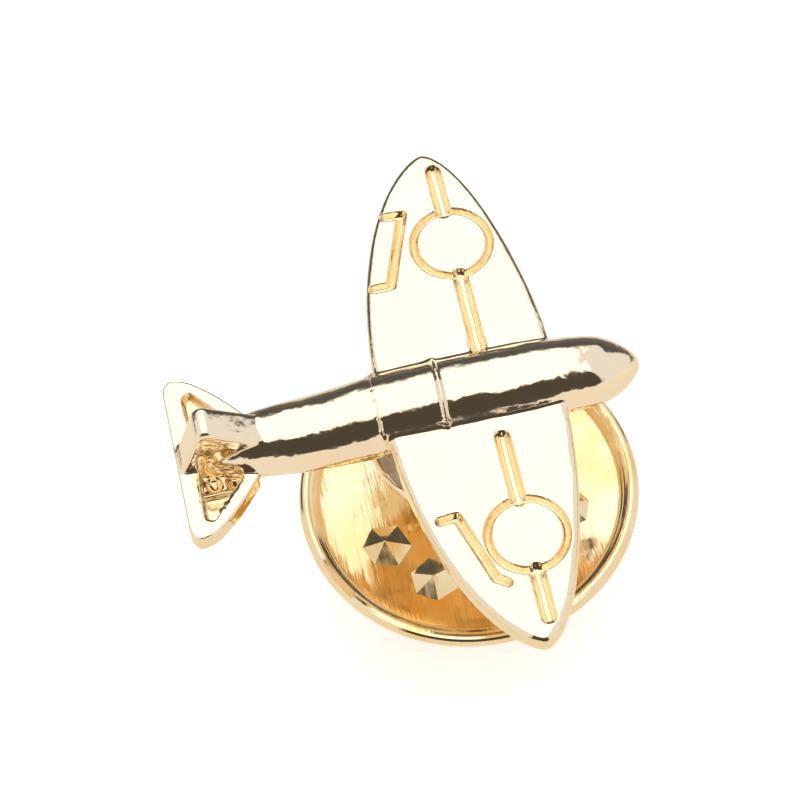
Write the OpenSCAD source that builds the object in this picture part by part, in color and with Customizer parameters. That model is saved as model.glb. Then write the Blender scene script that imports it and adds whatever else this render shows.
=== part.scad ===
// Aircraft lapel pin: a plated casting on a post, held by a butterfly clutch.
// +X points to the aircraft's nose, +Y to its port wing and +Z up, out of the cloth.
// The origin is the middle of the clutch's flat back, on the axis of the post.

/* [Aircraft] */
// Wing span from tip to tip
wing_span = 18.4; // [15:0.1:22.1]
// Wing chord at the root
wing_chord = 5.9; // [4.9:0.1:7.1]
// Thickness of the wing
wing_t = 0.85; // [0.7:0.01:1.02]
// Width of the rounding along the wing's edge
wing_edge = 0.28; // [0.2:0.01:0.34]
// Width of the fuselage at its thickest section
fuselage_w = 2.7; // [2.25:0.05:3.3]
// Height of the fuselage at its thickest section
fuselage_h = 2.8; // [2.3:0.05:3.36]
// Distance from the post to the tip of the nose
nose_reach = 5.8; // [4.9:0.1:7.0]
// Distance from the post to the tail's trailing edge
tail_reach = 9.4; // [7.8:0.1:11.3]
// Span of the tailplane
tail_span = 5.9; // [4.9:0.1:7.1]
// Chord of the tailplane at its root
tail_chord = 2.5; // [2.1:0.1:3.0]
// Thickness of the tailplane
tail_t = 0.75; // [0.6:0.05:0.9]
// Thickness of the fin
fin_t = 1.1; // [0.9:0.05:1.35]
// Height of the fin's top above the wing
fin_rise = 1.5; // [1.2:0.1:1.8]

/* [Cast markings] */
// Radius of each wing ring, to the middle of its groove
ring_r = 1.25; // [1.05:0.01:1.5]
// Distance from the centre line to the middle of each ring
ring_y = 5.5; // [4.5:0.05:6.5]
// Width of the ring's groove
ring_w = 0.26; // [0.2:0.01:0.32]
// Width of the long grooves inboard and outboard of each ring
bar_w = 0.6; // [0.4:0.02:0.72]
// Depth of the grooves
mark_d = 0.25; // [0.15:0.01:0.3]

/* [Post] */
// Diameter of the post
post_d = 1.1; // [0.9:0.01:1.3]
// Length of the post below its pad
post_l = 9.1; // [7.6:0.1:10.9]
// Diameter of the post's pad
pad_d = 6.4; // [5.3:0.1:7.7]
// Thickness of the pad
pad_t = 0.4; // [0.3:0.01:0.48]
// Thickness of the braze between the pad and the belly
braze_t = 0.45; // [0.35:0.01:0.54]
// Width of each notch cut round the post
notch_w = 0.5; // [0.4:0.01:0.6]
// Depth of each notch
notch_d = 0.1; // [0.07:0.01:0.12]
// Height of the post's point
point_l = 1.1; // [0.9:0.05:1.3]

/* [Clutch] */
// Outside diameter of the clutch's front disc
disc_d = 11.5; // [9.6:0.1:13.8]
// Height of the clutch from its flat back to the middle of the rolled rim
clutch_h = 5.2; // [4.4:0.1:6.2]
// Radius of the rolled rim's bead
rim_r = 0.3; // [0.25:0.01:0.36]
// Thickness of the clutch's sheet metal
sheet_t = 0.3; // [0.25:0.01:0.34]
// Depth of the disc's face below the middle of the rim
dish_d = 0.3; // [0.2:0.01:0.36]
// Outside diameter of the can at the back
can_d = 5.2; // [4.4:0.1:6.2]
// Width of the flange that joins the can to the disc
flange_w = 0.9; // [0.7:0.05:1.1]
// Height of each grip nib above the disc's face
nib_h = 0.4; // [0.3:0.05:0.5]
// Width of each nib at its foot
nib_w = 1.85; // [1.5:0.05:2.2]
// Distance from the post's axis to each nib
nib_r = 3.4; // [2.9:0.1:3.6]

/* [Squeeze wings] */
// Width of each squeeze wing
lever_w = 2.8; // [2.4:0.1:3.3]
// Thickness of the squeeze wings' strip
lever_t = 0.3; // [0.25:0.01:0.36]
// Distance from the post's axis to the tip of each squeeze wing
lever_reach = 4.8; // [4.3:0.1:5.7]
// Gap between the jaws and the post
jaw_gap = 0.05; // [0.03:0.01:0.08]
// Gap between the eyelet and the post
eyelet_gap = 0.07; // [0.04:0.01:0.1]
// Gap between the eyelet and the hole in the disc
eyelet_play = 0.03; // [0.02:0.01:0.05]

/* [Hidden] */

// Heights, counted up from the clutch's flat back
post_r = post_d / 2;
tip_gap = 0.05;
tip_z = sheet_t + tip_gap;
pad_z = tip_z + post_l;
braze_z = pad_z + pad_t;
belly_z = braze_z + braze_t;
fuselage_z = belly_z + fuselage_h / 2;
wing_drop = 0.5;
wing_z = fuselage_z + wing_drop;

// Wing outline: a pointed ellipse whose middle line sweeps a little towards the tip
wing_steps = 20;
wing_power = 0.62;
wing_mid = 0.25;
wing_sweep = 0.35;
tip_half = 0.1;
function wing_half_chord(s) = wing_chord / 2 * pow(1 - s * s, wing_power);
function wing_centre(s) = wing_mid + wing_sweep * pow(s, 4);
span_angles = [for (i = [0 : wing_steps]) -90 + 180 * i / wing_steps];
function wing_side(dir, inset) = [for (a = span_angles)
    [wing_centre(sin(a)) + dir * max(wing_half_chord(sin(a)) - inset, tip_half),
     sin(a) * (wing_span / 2 - inset)]];
function reversed(list) = [for (i = [len(list) - 1 : -1 : 0]) list[i]];
function wing_outline(inset) = concat(wing_side(1, inset), reversed(wing_side(-1, inset)));

// Fuselage stations: place along X, share of full width and height, height of the middle
function station(x, share, z) = [x, share * fuselage_w / 2, share * fuselage_h / 2, z];
boom_end = -tail_reach + tail_chord + 0.1;
boom_drop = -0.3;
nose_drop = -0.1;
stations = [
    station(boom_end, 0.83, boom_drop + 0.1),
    station(-0.57 * tail_reach, 0.88, boom_drop),
    station(-0.43 * tail_reach, 0.93, boom_drop + 0.06),
    station(-0.3 * tail_reach, 1.0, -0.05),
    station(0, 1.0, 0),
    station(0.45 * nose_reach, 0.95, 0.08),
    station(0.67 * nose_reach, 0.84, 0.06),
    station(0.78 * nose_reach, 0.74, -0.02),
    station(0.86 * nose_reach, 0.6, nose_drop),
    station(0.93 * nose_reach, 0.42, nose_drop),
    station(0.98 * nose_reach, 0.2, nose_drop),
    station(nose_reach, 0.05, nose_drop)
];
section_sides = 24;
function section_ring(s) = [for (i = [0 : section_sides - 1])
    let (a = 360 * i / section_sides) [s[0], s[1] * cos(a), s[3] + s[2] * sin(a)]];

// Tail
tailplane_z = -0.6;
fin_front = -tail_reach + tail_chord + 0.4;
fin_back = -tail_reach + 0.05;
fin_crown = -tail_reach + 1.2;
fin_foot_z = 0.8;
tail_tip_r = 0.45;
pocket_d = 0.4;
pocket_rim = 0.45;

// Marks on the wings
bar_outer = wing_span / 2 - 0.8;
bar_inner = fuselage_w / 2 + 0.15;
ring_x = 0.86;
hinge_line_w = 0.3;
aileron_root = [-1.4, 4.35];
aileron_tip = [-0.5, 6.95];
aileron_hook = 0.6;

// Clutch
disc_r = disc_d / 2;
rim_mid_r = disc_r - rim_r;
face_z = clutch_h - dish_d;
plate_z = face_z - sheet_t;
can_r = can_d / 2;
can_inner_r = can_r - sheet_t;
eyelet_r = post_r + eyelet_gap;
eyelet_wall = 0.28;
eyelet_flange = 0.4;
eyelet_lip = 0.15;
eyelet_tube_r = eyelet_r + eyelet_wall;
hole_r = eyelet_tube_r + eyelet_play;
nib_near = 32.5;
nib_far = 68.5;
nib_angles = [270 - nib_far, 270 - nib_near, 270 + nib_near, 270 + nib_far, 90 - nib_near, 90 + nib_near];

// Squeeze wings: each rocks on a line across its window in the can
play = 0.15;
pivot_y = can_r - sheet_t / 2;
pivot_z = plate_z - 1.55;
jaw_rise = 0.75;
jaw_r = post_r + jaw_gap;
jaw_y = 0.35;
tab_drop = 0.75;
tab_corner = 0.7;
neck_w = lever_w - 0.5;
window_w = neck_w + 2 * play;
window_low = pivot_z - 0.5;
window_high = pivot_z + 0.5;
spring_t = 0.12;
spring_w = 1.6;
spring_foot = can_inner_r - 0.6;
spring_foot_z = pivot_z + 0.72;

module loft(rings) {
    sides = len(rings[0]);
    points = [for (ring = rings, p = ring) p];
    last = len(rings) - 1;
    walls = [for (r = [0 : last - 1], i = [0 : sides - 1])
        [(r + 1) * sides + i, (r + 1) * sides + (i + 1) % sides, r * sides + (i + 1) % sides, r * sides + i]];
    first_cap = [for (i = [0 : sides - 1]) i];
    last_cap = [for (i = [sides - 1 : -1 : 0]) last * sides + i];
    polyhedron(points, concat(walls, [first_cap, last_cap]), convexity = 4);
}

module wing_layer(inset, z, t) {
    translate([0, 0, z])
        linear_extrude(t)
            polygon(wing_outline(inset));
}

module wing_plate() {
    skin = 0.3 * wing_t;
    hull() {
        wing_layer(wing_edge, 0, wing_t);
        wing_layer(0, (wing_t - skin) / 2, skin);
    }
}

module tailplane() {
    half = tail_span / 2;
    root_y = fuselage_w / 2 * 0.8;
    linear_extrude(tail_t)
        hull() {
            for (side = [-1, 1]) {
                translate([-tail_reach + tail_tip_r, side * (half - tail_tip_r)])
                    circle(tail_tip_r, $fn = 24);
                translate([-tail_reach + tail_chord - tail_tip_r, side * root_y])
                    circle(tail_tip_r, $fn = 24);
            }
        }
}

// Recess in the upper face of each half of the tailplane
module tail_pocket() {
    inner = fin_t / 2 + 0.1;
    outer = tail_span / 2 - 2 * pocket_rim;
    front = -tail_reach + tail_chord - pocket_rim;
    back = -tail_reach + 1.4 * pocket_rim;
    translate([0, 0, tail_t - pocket_d])
        linear_extrude(2)
            polygon([[front, inner], [back, inner], [back, outer], [back + 0.2, outer], [front, inner + 0.3]]);
}

module fin() {
    top_z = wing_drop + fin_rise;
    translate([0, fin_t / 2, 0])
        rotate([90, 0, 0])
            linear_extrude(fin_t)
                polygon([
                    [fin_front, fin_foot_z],
                    [fin_crown, top_z],
                    [fin_crown - 0.35, top_z - 0.15],
                    [fin_back, tailplane_z + tail_t / 2],
                    [fin_back, tailplane_z - tail_t / 2],
                    [fin_front, tailplane_z - tail_t / 2]
                ]);
}

module slot(from, to, w) {
    run = to - from;
    length = norm(run);
    translate([from[0], from[1], -mark_d])
        rotate([0, 0, atan2(run[1], run[0])]) {
            translate([0, -w / 2, 0]) cube([length, w, 1]);
            cylinder(h = 1, d = w, $fn = 24);
            translate([length, 0, 0]) cylinder(h = 1, d = w, $fn = 24);
        }
}

module wing_marks() {
    translate([ring_x, ring_y, -mark_d])
        difference() {
            cylinder(h = 1, r = ring_r + ring_w / 2, $fn = 48);
            translate([0, 0, -0.1]) cylinder(h = 1.2, r = ring_r - ring_w / 2, $fn = 48);
        }
    slot([ring_x, bar_inner], [ring_x, ring_y - ring_r], bar_w);
    slot([ring_x, ring_y + ring_r], [ring_x, bar_outer], bar_w);
    slot(aileron_root, aileron_tip, hinge_line_w);
    slot(aileron_root, aileron_root - [aileron_hook, 0], hinge_line_w);
    slot(aileron_tip, aileron_tip - [aileron_hook, 0], hinge_line_w);
}

module aircraft_casting() {
    color("palegoldenrod")
        translate([0, 0, fuselage_z])
            difference() {
                union() {
                    loft([for (s = stations) section_ring(s)]);
                    translate([0, 0, wing_drop - wing_t]) wing_plate();
                    translate([0, 0, tailplane_z - tail_t / 2])
                        difference() {
                            tailplane();
                            tail_pocket();
                            mirror([0, 1, 0]) tail_pocket();
                        }
                    fin();
                }
                translate([0, 0, wing_drop]) {
                    wing_marks();
                    mirror([0, 1, 0]) wing_marks();
                }
                // Flat on the belly, where the braze holds the pad
                translate([-pad_d, -pad_d, -fuselage_h / 2 - 1]) cube([2 * pad_d, 2 * pad_d, 1]);
            }
}

module braze_fillet() {
    color("tan")
        translate([0, 0, braze_z])
            cylinder(h = braze_t, r1 = pad_d / 2 - 0.1, r2 = pad_d / 2 - 0.9, $fn = 48);
}

module post_pad() {
    color("palegoldenrod")
        translate([0, 0, pad_z])
            difference() {
                cylinder(h = pad_t, d = pad_d, $fn = 64);
                translate([0, 0, -0.1]) cylinder(h = pad_t + 0.2, r = post_r, $fn = 48);
            }
}

module post_shank() {
    neck_r = post_r - notch_d;
    first = 1.8;
    pitch = 1.5;
    notches = [for (i = [0 : 2]) tip_z + first + i * pitch];
    notch_points = [for (z = notches)
        each [[post_r, z], [neck_r, z + notch_d], [neck_r, z + notch_w - notch_d], [post_r, z + notch_w]]];
    color("gold")
        rotate_extrude($fn = 64)
            polygon(concat(
                [[0, tip_z], [0.12, tip_z + 0.05], [post_r, tip_z + point_l]],
                notch_points,
                [[post_r, braze_z], [0, braze_z]]
            ));
}

module grip_nib() {
    cylinder(h = nib_h, d1 = nib_w, d2 = 0.15, $fn = 6);
}

module clutch_disc() {
    bead_z = clutch_h;
    color("goldenrod")
        union() {
            difference() {
                translate([0, 0, plate_z]) cylinder(h = sheet_t, r = rim_mid_r, $fn = 96);
                translate([0, 0, plate_z - 0.1]) cylinder(h = 1, r = hole_r, $fn = 48);
            }
            rotate_extrude($fn = 96)
                translate([rim_mid_r, bead_z]) circle(rim_r, $fn = 32);
            rotate_extrude($fn = 96)
                translate([rim_mid_r - sheet_t, plate_z]) square([sheet_t, dish_d + sheet_t]);
            for (a = nib_angles)
                rotate([0, 0, a])
                    translate([nib_r, 0, face_z - 0.02]) grip_nib();
        }
}

module clutch_eyelet() {
    color("gold")
        difference() {
            union() {
                translate([0, 0, plate_z + eyelet_play])
                    cylinder(h = sheet_t + eyelet_lip, r = eyelet_tube_r, $fn = 48);
                translate([0, 0, face_z + eyelet_play])
                    cylinder(h = eyelet_lip, r = eyelet_tube_r + eyelet_flange, $fn = 48);
            }
            translate([0, 0, plate_z - 0.1]) cylinder(h = 1, r = eyelet_r, $fn = 48);
        }
}

module can_window(side) {
    translate([side > 0 ? 0 : -can_r - 1, -window_w / 2, window_low])
        cube([can_r + 1, window_w, window_high - window_low]);
}

module clutch_can() {
    bend = 0.3;
    color("goldenrod")
        difference() {
            union() {
                rotate_extrude($fn = 96)
                    polygon([
                        [0, 0], [can_r - bend, 0], [can_r, bend], [can_r, plate_z - sheet_t],
                        [can_r + flange_w, plate_z - sheet_t], [can_r + flange_w, plate_z], [0, plate_z]
                    ]);
            }
            translate([0, 0, sheet_t]) cylinder(h = plate_z, r = can_inner_r, $fn = 96);
            difference() {
                union() {
                    can_window(1);
                    can_window(-1);
                }
                cylinder(h = plate_z, r = can_inner_r - 0.1, $fn = 48);
            }
        }
}

// A strip that follows a line in the YZ plane, w wide along X and t thick
module strip(line, w, t) {
    for (i = [0 : len(line) - 2]) {
        run = line[i + 1] - line[i];
        translate([0, line[i][0], line[i][1]])
            rotate([atan2(run[1], run[0]), 0, 0])
                translate([-w / 2, 0, -t / 2]) cube([w, norm(run), t]);
        translate([-w / 2, line[i + 1][0], line[i + 1][1]])
            rotate([0, 90, 0]) cylinder(h = w, d = t, $fn = 24);
    }
}

// Bowed leaf: its middle lies under the disc and its feet press on the jaws' arms
module grip_spring() {
    crown_z = plate_z - spring_t / 2;
    bend_y = 0.9;
    line = [[-spring_foot, spring_foot_z], [-bend_y, crown_z], [bend_y, crown_z], [spring_foot, spring_foot_z]];
    color("khaki")
        rotate([0, 0, -90])
            difference() {
                strip(line, spring_w, spring_t);
                translate([0, 0, plate_z - 1]) cylinder(h = 2, r = post_r + play, $fn = 48);
            }
}

// Upright column of the tab's plan shape, with its two outer corners rounded
module tab_outline() {
    corner_x = lever_w / 2 - tab_corner;
    corner_y = lever_reach - tab_corner;
    translate([0, 0, pivot_z - 2]) {
        translate([-lever_w / 2, 0, 0]) cube([lever_w, corner_y, 3]);
        translate([-corner_x, 0, 0]) cube([2 * corner_x, lever_reach, 3]);
        for (side = [-1, 1])
            translate([side * corner_x, corner_y, 0]) cylinder(h = 3, r = tab_corner, $fn = 32);
    }
}

module squeeze_wing() {
    root = [can_r + 0.3, pivot_z - 0.05];
    knee = [lever_reach - 1.1, pivot_z - 0.3 * tab_drop];
    tip = [lever_reach - lever_t / 2, pivot_z - tab_drop];
    difference() {
        union() {
            strip([[jaw_y, pivot_z + jaw_rise], [pivot_y, pivot_z], root], neck_w, lever_t);
            intersection() {
                strip([root, knee, tip], lever_w, lever_t);
                tab_outline();
            }
        }
        translate([0, 0, pivot_z - 1]) cylinder(h = 3, r = jaw_r, $fn = 48);
    }
}

module squeeze_wing_fore() {
    color("gold") rotate([0, 0, -90]) squeeze_wing();
}

module squeeze_wing_aft() {
    color("gold") rotate([0, 0, 90]) squeeze_wing();
}

aircraft_casting();
braze_fillet();
post_pad();
post_shank();
clutch_disc();
clutch_eyelet();
clutch_can();
grip_spring();
squeeze_wing_fore();
squeeze_wing_aft();
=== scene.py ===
"""Builds the looks of an aircraft lapel pin on its butterfly clutch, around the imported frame."""

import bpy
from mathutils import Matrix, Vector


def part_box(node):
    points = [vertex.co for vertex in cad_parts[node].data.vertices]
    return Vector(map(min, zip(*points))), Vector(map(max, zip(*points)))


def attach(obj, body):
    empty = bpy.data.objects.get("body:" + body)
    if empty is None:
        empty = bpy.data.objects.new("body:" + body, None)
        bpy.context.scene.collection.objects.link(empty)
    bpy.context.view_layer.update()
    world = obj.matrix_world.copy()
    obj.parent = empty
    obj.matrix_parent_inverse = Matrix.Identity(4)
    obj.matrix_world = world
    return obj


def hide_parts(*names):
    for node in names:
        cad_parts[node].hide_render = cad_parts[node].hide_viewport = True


bl_info = {
    "name": "Aircraft Lapel Pin",
    "version": (1, 0, 0),
    "blender": (4, 5, 0),
    "location": "3D View > Sidebar > Lapel Pin",
    "description": "Models a plated aircraft lapel pin and the butterfly clutch that holds it",
    "category": "Object",
}

import math

import bmesh
import bpy
from mathutils import Matrix, Vector

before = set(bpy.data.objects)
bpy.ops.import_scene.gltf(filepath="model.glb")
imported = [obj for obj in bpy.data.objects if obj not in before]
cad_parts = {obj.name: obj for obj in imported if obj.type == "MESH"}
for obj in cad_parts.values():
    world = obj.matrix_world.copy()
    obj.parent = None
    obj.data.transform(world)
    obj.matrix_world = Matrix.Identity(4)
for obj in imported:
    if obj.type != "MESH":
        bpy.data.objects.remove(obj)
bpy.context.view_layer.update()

# Pieces are modelled in millimetres and brought to metres when they are finished
MM = 0.001


def frame_box(node):
    """Lowest and highest corners of a frame node, in millimetres."""
    low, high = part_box(node)
    return low / MM, high / MM


CASTING_LOW, CASTING_HIGH = frame_box("aircraft_casting")
PAD_LOW, PAD_HIGH = frame_box("post_pad")
POST_LOW, POST_HIGH = frame_box("post_shank")
DISC_LOW, DISC_HIGH = frame_box("clutch_disc")
CAN_LOW, CAN_HIGH = frame_box("clutch_can")
EYELET_LOW, EYELET_HIGH = frame_box("clutch_eyelet")
SPRING_LOW, SPRING_HIGH = frame_box("grip_spring")
LEVER_LOW, LEVER_HIGH = frame_box("squeeze_wing_fore")


# ---------------------------------------------------------------- settings


def length(name, description, default, low=0.01, high=50.0):
    return bpy.props.FloatProperty(name=name, description=description, default=default, min=low, max=high)


def colour(name, description, default):
    return bpy.props.FloatVectorProperty(
        name=name, description=description, default=default, size=3, min=0.0, max=1.0, subtype="COLOR"
    )


def angle(name, description, degrees):
    return bpy.props.FloatProperty(
        name=name, description=description, default=math.radians(degrees), subtype="ANGLE", unit="ROTATION"
    )


class PinSizes(bpy.types.PropertyGroup):
    """Sizes in millimetres."""

    span: length("Wing span", "Tip to tip", CASTING_HIGH.y - CASTING_LOW.y)
    chord: length("Wing chord", "Chord at the root", 5.9)
    wing_t: length("Wing thickness", "Thickness of the wing", 0.85)
    wing_round: length("Wing rounding", "Rounding of the wing's edge", 0.26)
    wing_rise: length("Wing rise", "Height of the wing's face above the fuselage's middle", 0.5)
    body_w: length("Fuselage width", "Width at the thickest section", 2.7)
    body_h: length("Fuselage height", "Height at the thickest section", 2.8)
    nose: length("Nose reach", "From the post to the tip of the nose", CASTING_HIGH.x)
    tail: length("Tail reach", "From the post to the tail's trailing edge", -CASTING_LOW.x)
    tail_t: length("Tailplane thickness", "Thickness of the tailplane", 0.75)
    fin_t: length("Fin thickness", "Thickness of the fin", 1.1)
    ring_r: length("Ring radius", "Radius of the wing rings", 1.25)
    ring_w: length("Ring groove", "Width of the rings' grooves", 0.23)
    bar_w: length("Bar groove", "Width of the long grooves", 0.48)
    mark_d: length("Mark depth", "Depth of the grooves", 0.27)
    detail: length("Casting detail", "Finest detail that the casting keeps", 0.04)
    sheet_t: length("Sheet", "Thickness of the clutch's sheet metal", 0.3)
    rim_r: length("Rim bead", "Radius of the disc's rolled rim", 0.27)
    nib_w: length("Nib width", "Width of each grip nib at its foot", 1.65)
    nib_h: length("Nib height", "Height of each grip nib", 0.4)
    nib_r: length("Nib circle", "Distance from the post's axis to each nib", 3.4)


class PinColours(bpy.types.PropertyGroup):
    """Base colours of the metals and the floor, with deeper golds painted in as shade on low ground and in
    crevices.
    """

    plate: colour("Pale gold", "Plating of the aircraft", (0.95, 0.83, 0.66))
    plate_warm: colour("Warm pale gold", "Warmer patches of the plating", (0.95, 0.81, 0.62))
    # Deeper gold painted on low ground as shade, under the wing and tail faces and in the pockets
    groove: colour("Groove", "Plating on low ground", (0.92, 0.77, 0.52))
    # Darker gold painted into the grooves and corners as shade; the braze also uses it as the real colour of
    # its torn streaks
    crevice_shade_and_tear: colour("Crevice", "Plating in the grooves and corners", (0.76, 0.55, 0.30))
    clutch: colour("Clutch gold", "Plating of the clutch", (0.96, 0.80, 0.55))
    clutch_deep: colour("Deep gold", "Streaks in the clutch's plating", (0.90, 0.67, 0.34))
    braze: colour("Braze", "Rough braze under the belly", (0.88, 0.74, 0.53))
    post: colour("Post", "Turned post", (0.93, 0.75, 0.45))
    spring: colour("Spring", "Spring strip", (0.85, 0.70, 0.42))
    floor: colour("Floor", "Plain floor", (0.95, 0.95, 0.95))


def amount(name, description, default, high=10.0):
    return bpy.props.FloatProperty(name=name, description=description, default=default, min=0.0, max=high)


class PinLight(bpy.types.PropertyGroup):
    """The soft tent round the pin."""

    tint: colour("Tint", "Colour of the light", (1.0, 0.975, 0.945))
    dark_tint: colour("Opening's tint", "Colour of the dark opening", (1.0, 0.82, 0.62))
    top: amount("Top", "Brightness overhead", 1.5)
    side: amount("Side panels", "Brightness of the panels before the nose and behind the tail", 0.88)
    side_from: amount(
        "Side panels' edge", "How far towards the nose or tail a direction leans to meet a panel", 0.44
    )
    low: amount("Horizon", "Brightness of the band above the floor", 0.1)
    low_bottom: angle("Horizon's top", "Height at which the band starts to brighten", 20.0)
    low_top: angle("Dome's foot", "Height at which the dome is fully bright", 34.0)
    dark: amount("Opening", "Brightness of the dark opening", 0.08)
    dark_turn: angle("Opening's turn", "Middle of the opening, turned from looking along +Y", -7.0)
    dark_half_width: angle("Opening's half width", "Half of the opening's width", 44.0)
    dark_bottom: angle("Opening's foot", "Height of the opening's lower edge", 4.0)
    dark_top: angle("Opening's top", "Height of the opening's upper edge", 57.0)
    dark_soft: angle("Opening's softness", "Softness of the opening's edges", 3.0)
    floor_glow: amount("Floor glow", "Light that the floor adds by itself", 0.5)
    # The floor in reflections is a glowing sheet of painted reflection, darkened beyond the pin as painted
    # shade
    near_floor: amount("Near floor", "Brightness of the floor in reflections, on the camera's side", 0.9)
    far_floor: amount("Far floor", "Brightness of the floor in reflections, beyond the pin", 0.1)


class PinCamera(bpy.types.PropertyGroup):
    """Where the camera stands."""

    azimuth: angle("Azimuth", "Turn about the upright axis from looking along +Y", -7.06)
    elevation: angle("Elevation", "Height of the camera above the horizon", 60.42)
    roll: angle("Roll", "Tilt of the camera about its own axis", -5.63)
    distance: length("Distance", "From the camera to its target", 100.0, high=1000.0)
    target_x: length("Target X", "Where the camera looks", -2.01, low=-50.0)
    target_y: length("Target Y", "Where the camera looks", 0.1, low=-50.0)
    lens: length("Lens", "Focal length", 141.17, high=1000.0)


# ---------------------------------------------------------------- modelling helpers


# Points nearer than MERGE become one, and points nearer than NEAR count as level, in millimetres
MERGE = 0.0005
NEAR = 0.001


def select_only(obj):
    bpy.ops.object.select_all(action="DESELECT")
    obj.select_set(True)
    bpy.context.view_layer.objects.active = obj


def added(name):
    """Names the object that an add operator has just made."""
    obj = bpy.context.active_object
    obj.name = name
    obj.data.name = name
    return obj


def edit(obj):
    select_only(obj)
    bpy.ops.object.mode_set(mode="EDIT")
    bpy.ops.mesh.select_mode(type="VERT")
    bpy.ops.mesh.select_all(action="SELECT")


def done():
    bpy.ops.object.mode_set(mode="OBJECT")


def pick(obj, kind, test):
    """In edit mode, selects the vertices, edges or faces that pass a test."""
    bpy.ops.mesh.select_mode(type=kind)
    bpy.ops.mesh.select_all(action="DESELECT")
    mesh = bmesh.from_edit_mesh(obj.data)
    for item in {"VERT": mesh.verts, "EDGE": mesh.edges, "FACE": mesh.faces}[kind]:
        if test(item):
            item.select_set(True)
    mesh.select_flush_mode()
    bmesh.update_edit_mesh(obj.data)


def modify(obj, kind, **settings):
    """Adds a modifier, sets it and applies it."""
    select_only(obj)
    bpy.ops.object.modifier_add(type=kind)
    modifier = obj.modifiers[-1]
    for key, value in settings.items():
        setattr(modifier, key, value)
    bpy.ops.object.modifier_apply(modifier=modifier.name)


def combine(obj, other, operation):
    """Adds another solid to obj or cuts it away, and removes it."""
    span = obj.dimensions.length
    modify(obj, "BOOLEAN", operation=operation, object=other, solver="EXACT")
    if obj.dimensions.length < 0.9 * span:
        raise RuntimeError(obj.name + " was lost while " + other.name + " was cut")
    bpy.data.objects.remove(other)


def join(objects):
    select_only(objects[0])
    for obj in objects[1:]:
        obj.select_set(True)
    bpy.ops.object.join()
    return objects[0]


def close_up():
    """In edit mode, merges doubles and turns all faces outwards."""
    bpy.ops.mesh.select_all(action="SELECT")
    bpy.ops.mesh.remove_doubles(threshold=MERGE)
    bpy.ops.mesh.normals_make_consistent(inside=False)


def draw(name, points):
    """Draws a chain of points by extruding one vertex, and leaves the object in edit mode."""
    start = Vector(points[0])
    bpy.ops.object.select_all(action="DESELECT")
    bpy.ops.mesh.primitive_plane_add(size=0.1, location=start)
    obj = added(name)
    place_in_mesh(obj)
    edit(obj)
    bpy.ops.mesh.merge(type="CENTER")
    for a, b in zip(points, points[1:]):
        bpy.ops.mesh.extrude_region_move(TRANSFORM_OT_translate={"value": Vector(b) - Vector(a)})
    bpy.ops.mesh.select_all(action="SELECT")
    return obj


def place_in_mesh(obj):
    select_only(obj)
    bpy.ops.object.transform_apply(location=True, rotation=True, scale=True)


def prism(name, points, depth):
    """Fills an outline and extrudes it by a vector."""
    obj = draw(name, points)
    bpy.ops.mesh.edge_face_add()
    bpy.ops.mesh.extrude_region_move(TRANSFORM_OT_translate={"value": depth})
    close_up()
    done()
    return obj


def lathe(name, profile, steps=96, bevel=0.0):
    """Closes a profile of (radius, height) points and spins it round the Z axis."""
    points = [(r, 0.0, z) for r, z in profile]
    points.append(points[0])
    obj = draw(name, points)
    bpy.ops.mesh.remove_doubles(threshold=MERGE)
    bpy.ops.mesh.select_all(action="SELECT")
    bpy.ops.mesh.spin(steps=steps, angle=2 * math.pi, center=(0, 0, 0), axis=(0, 0, 1))
    close_up()
    done()
    if bevel:
        round_edges(obj, bevel)
    return obj


def round_edges(obj, width, segments=3, limit=25.0):
    """Bevels the edges that turn by more than a limit in degrees."""
    modify(
        obj, "BEVEL", width=width, segments=segments, limit_method="ANGLE", angle_limit=math.radians(limit)
    )


def shade(obj, degrees=35.0):
    select_only(obj)
    bpy.ops.object.shade_smooth_by_angle(angle=math.radians(degrees))
    modify(obj, "WEIGHTED_NORMAL", keep_sharp=True)


def capsule(name, start, end, width, depth):
    """A round-ended cutter that lies along a line on the wing's face."""
    start, end = Vector(start), Vector(end)
    run = end - start
    bpy.ops.object.select_all(action="DESELECT")
    bpy.ops.mesh.primitive_uv_sphere_add(segments=24, ring_count=12, radius=width / 2)
    obj = added(name)
    edit(obj)
    pick(obj, "VERT", lambda v: v.co.x > NEAR)
    bpy.ops.transform.translate(value=(run.length, 0, 0))
    bpy.ops.mesh.select_all(action="SELECT")
    bpy.ops.transform.resize(value=(1, 1, 2 * depth / width), center_override=(0, 0, 0))
    done()
    obj.rotation_euler.z = math.atan2(run.y, run.x)
    obj.location = start
    place_in_mesh(obj)
    return obj


def finish_piece(obj, body, nodes, material):
    """Brings a piece to metres, gives it its finish and hands it to the frame."""
    obj.scale = (MM, MM, MM)
    place_in_mesh(obj)
    obj.data.materials.clear()
    obj.data.materials.append(material)
    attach(obj, body)
    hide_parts(*nodes)


# ---------------------------------------------------------------- materials


# Painted shade on low ground starts this far below a face and is complete this far below it
LOW_START = 0.03
LOW_FULL = 0.12
# The painted shade of low ground belongs to the tail behind TAIL_FROM, and to the wing beside the body, with
# soft edges
TAIL_FROM = -6.5
TAIL_BLEND = 0.1
BODY_BLEND = 0.15


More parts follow.
